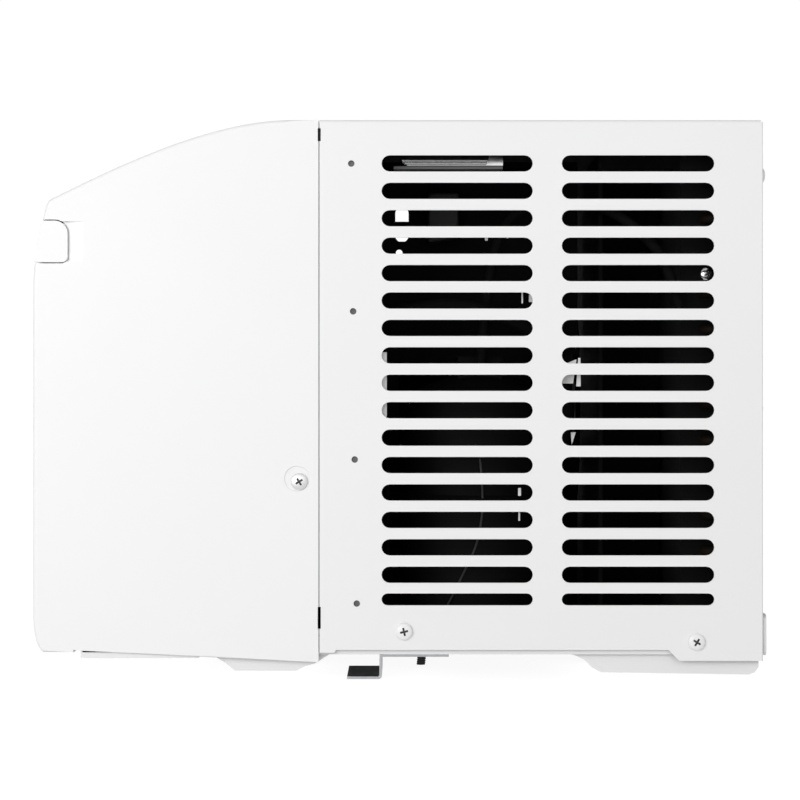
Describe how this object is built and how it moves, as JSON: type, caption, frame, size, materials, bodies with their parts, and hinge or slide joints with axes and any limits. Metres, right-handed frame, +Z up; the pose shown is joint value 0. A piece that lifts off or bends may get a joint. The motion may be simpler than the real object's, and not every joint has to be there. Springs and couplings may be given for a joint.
{
  "type": "window air conditioner",
  "caption": "Window air conditioner with a slotted steel case, sloping louvred front cover, tilting intake grille and a pressed base pan with sill brackets.",
  "frame": {"origin": "centre of the bounding box in plan, at the underside of the sill brackets", "axes": "+Z up, +Y towards the outdoor side, the room side faces -Y, +X to the right of someone facing the front"},
  "size_m": [0.482, 0.5096, 0.389],
  "materials": {
    "cover_plastic": "fine moulded texture",
    "case_paint": "smooth powder coat",
    "pan_paint": "satin powder coat",
    "zinc_steel": "galvanised",
    "bright_steel": "bright plated",
    "black_plastic": "moulded",
    "black_paint": "semi-gloss enamel",
    "coil_fins": "thin folded fins",
    "copper": "drawn tube",
    "foam": "expanded foam",
    "lens": "tinted window",
    "board": "solder resist",
    "key_plastic": "satin",
    "filter_plastic": "woven screen in a moulded frame"
  },
  "bodies": {
    "chassis": {"front_cover": "cover_plastic", "outer_case": "case_paint", "rear_guard": "case_paint", "case_screw_right_front": "case_paint", "case_screw_right_rear": "case_paint", "case_screw_left_front": "case_paint", "case_screw_left_rear": "case_paint", "base_pan": "pan_paint", "partition_brace": "zinc_steel", "sill_bracket_right": "zinc_steel", "sill_bracket_left": "zinc_steel", "bulkhead": "zinc_steel", "motor_mount": "zinc_steel", "control_box": "zinc_steel", "cover_screw_right": "bright_steel", "cover_screw_left": "bright_steel", "bracket_stud_right": "black_plastic", "bracket_stud_left": "black_plastic", "fan_shroud": "black_plastic", "cord_gland": "black_plastic", "fan_motor": "black_paint", "compressor": "black_paint", "accumulator": "black_paint", "evaporator_coil": "coil_fins", "condenser_coil": "coil_fins", "run_capacitor": "coil_fins", "suction_tube": "copper", "discharge_tube": "copper", "capillary_tube": "copper", "blower_scroll": "foam", "discharge_duct": "foam", "display_lens": "lens", "circuit_board": "board", "control_panel": "key_plastic"},
    "grille": {"intake_grille": "cover_plastic"},
    "filter": {"filter_frame": "filter_plastic", "filter_mesh": "filter_plastic"},
    "rotor": {"motor_shaft": "bright_steel", "condenser_fan": "black_plastic", "blower_wheel": "black_plastic"},
    "vane_link": {"vane_link": "key_plastic"},
    "vent_lever": {"vent_lever": "key_plastic"},
    "vent_door": {"vent_door": "foam"},
    "louvre_1": {"louvre_1": "cover_plastic"},
    "louvre_2": {"louvre_2": "cover_plastic"},
    "louvre_3": {"louvre_3": "cover_plastic"},
    "louvre_4": {"louvre_4": "cover_plastic"},
    "louvre_5": {"louvre_5": "cover_plastic"},
    "air_vane_1": {"air_vane_1": "cover_plastic"},
    "air_vane_2": {"air_vane_2": "cover_plastic"},
    "air_vane_3": {"air_vane_3": "cover_plastic"},
    "air_vane_4": {"air_vane_4": "cover_plastic"},
    "air_vane_5": {"air_vane_5": "cover_plastic"},
    "power_button": {"power_button": "key_plastic"},
    "mode_button": {"mode_button": "key_plastic"},
    "fan_speed_button": {"fan_speed_button": "key_plastic"},
    "timer_button": {"timer_button": "key_plastic"},
    "energy_saver_button": {"energy_saver_button": "key_plastic"},
    "temp_up_button": {"temp_up_button": "key_plastic"},
    "temp_down_button": {"temp_down_button": "key_plastic"}
  },
  "joints": [
    {"name": "grille_tilt", "type": "hinge", "parent": "chassis", "child": "grille", "pos_m": [0, -0.2529, 0.0366], "axis": [1, 0, 0], "range_deg": [0, 45]},
    {"name": "filter_slide", "type": "slide", "parent": "grille", "child": "filter", "axis": [0, 0, 1], "range_m": [0, 0.095]},
    {"name": "louvre_1_tilt", "type": "hinge", "parent": "chassis", "child": "louvre_1", "pos_m": [0, -0.22172, 0.33453], "axis": [1, 0, 0], "range_deg": [-25, 35]},
    {"name": "louvre_2_tilt", "type": "hinge", "parent": "chassis", "child": "louvre_2", "pos_m": [0, -0.20797, 0.34051], "axis": [1, 0, 0], "range_deg": [-25, 35]},
    {"name": "louvre_3_tilt", "type": "hinge", "parent": "chassis", "child": "louvre_3", "pos_m": [0, -0.19421, 0.34649], "axis": [1, 0, 0], "range_deg": [-25, 35]},
    {"name": "louvre_4_tilt", "type": "hinge", "parent": "chassis", "child": "louvre_4", "pos_m": [0, -0.18046, 0.35247], "axis": [1, 0, 0], "range_deg": [-25, 35]},
    {"name": "louvre_5_tilt", "type": "hinge", "parent": "chassis", "child": "louvre_5", "pos_m": [0, -0.1667, 0.35845], "axis": [1, 0, 0], "range_deg": [-25, 35]},
    {"name": "air_vane_1_swing", "type": "hinge", "parent": "chassis", "child": "air_vane_1", "pos_m": [-0.1757, -0.18524, 0.32585], "axis": [0, 0.9171, 0.3987], "range_deg": [-30, 30]},
    {"name": "air_vane_2_swing", "type": "hinge", "parent": "chassis", "child": "air_vane_2", "pos_m": [-0.1171, -0.18524, 0.32585], "axis": [0, 0.9171, 0.3987], "range_deg": [-30, 30]},
    {"name": "air_vane_3_swing", "type": "hinge", "parent": "chassis", "child": "air_vane_3", "pos_m": [-0.0585, -0.18524, 0.32585], "axis": [0, 0.9171, 0.3987], "range_deg": [-30, 30]},
    {"name": "air_vane_4_swing", "type": "hinge", "parent": "chassis", "child": "air_vane_4", "pos_m": [0.0001, -0.18524, 0.32585], "axis": [0, 0.9171, 0.3987], "range_deg": [-30, 30]},
    {"name": "air_vane_5_swing", "type": "hinge", "parent": "chassis", "child": "air_vane_5", "pos_m": [0.0587, -0.18524, 0.32585], "axis": [0, 0.9171, 0.3987], "range_deg": [-30, 30]},
    {"name": "vane_link_slide", "type": "slide", "parent": "chassis", "child": "vane_link", "axis": [1, 0, 0], "range_m": [-0.0042, 0.0042]},
    {"name": "power_button_press", "type": "slide", "parent": "chassis", "child": "power_button", "axis": [0, 0.3987, -0.9171], "range_m": [0, 0.0012], "stiffness_N_per_m": 350, "springref_m": -0.001},
    {"name": "mode_button_press", "type": "slide", "parent": "chassis", "child": "mode_button", "axis": [0, 0.3987, -0.9171], "range_m": [0, 0.0012], "stiffness_N_per_m": 350, "springref_m": -0.001},
    {"name": "fan_speed_button_press", "type": "slide", "parent": "chassis", "child": "fan_speed_button", "axis": [0, 0.3987, -0.9171], "range_m": [0, 0.0012], "stiffness_N_per_m": 350, "springref_m": -0.001},
    {"name": "timer_button_press", "type": "slide", "parent": "chassis", "child": "timer_button", "axis": [0, 0.3987, -0.9171], "range_m": [0, 0.0012], "stiffness_N_per_m": 350, "springref_m": -0.001},
    {"name": "energy_saver_button_press", "type": "slide", "parent": "chassis", "child": "energy_saver_button", "axis": [0, 0.3987, -0.9171], "range_m": [0, 0.0012], "stiffness_N_per_m": 350, "springref_m": -0.001},
    {"name": "temp_up_button_press", "type": "slide", "parent": "chassis", "child": "temp_up_button", "axis": [0, 0.3987, -0.9171], "range_m": [0, 0.0012], "stiffness_N_per_m": 350, "springref_m": -0.001},
    {"name": "temp_down_button_press", "type": "slide", "parent": "chassis", "child": "temp_down_button", "axis": [0, 0.3987, -0.9171], "range_m": [0, 0.0012], "stiffness_N_per_m": 350, "springref_m": -0.001},
    {"name": "vent_lever_slide", "type": "slide", "parent": "chassis", "child": "vent_lever", "axis": [0, 0.9171, 0.3987], "range_m": [0, 0.014]},
    {"name": "vent_door_swing", "type": "hinge", "parent": "chassis", "child": "vent_door", "pos_m": [-0.197, -0.0664, 0.353], "axis": [1, 0, 0], "range_deg": [0, 35]},
    {"name": "fan_spin", "type": "hinge", "parent": "chassis", "child": "rotor", "pos_m": [-0.045, 0, 0.19], "axis": [0, 1, 0], "continuous": true}
  ],
  "couplings": [
    {"joint": "filter_slide", "follows": "grille_tilt", "m_per_rad": 0.12},
    {"joint": "louvre_2_tilt", "follows": "louvre_1_tilt", "ratio": 1},
    {"joint": "louvre_3_tilt", "follows": "louvre_1_tilt", "ratio": 1},
    {"joint": "louvre_4_tilt", "follows": "louvre_1_tilt", "ratio": 1},
    {"joint": "louvre_5_tilt", "follows": "louvre_1_tilt", "ratio": 1},
    {"joint": "air_vane_1_swing", "follows": "vane_link_slide", "rad_per_m": -124},
    {"joint": "air_vane_2_swing", "follows": "vane_link_slide", "rad_per_m": -124},
    {"joint": "air_vane_3_swing", "follows": "vane_link_slide", "rad_per_m": -124},
    {"joint": "air_vane_4_swing", "follows": "vane_link_slide", "rad_per_m": -124},
    {"joint": "air_vane_5_swing", "follows": "vane_link_slide", "rad_per_m": -124},
    {"joint": "vent_door_swing", "follows": "vent_lever_slide", "rad_per_m": 43.6}
  ]
}
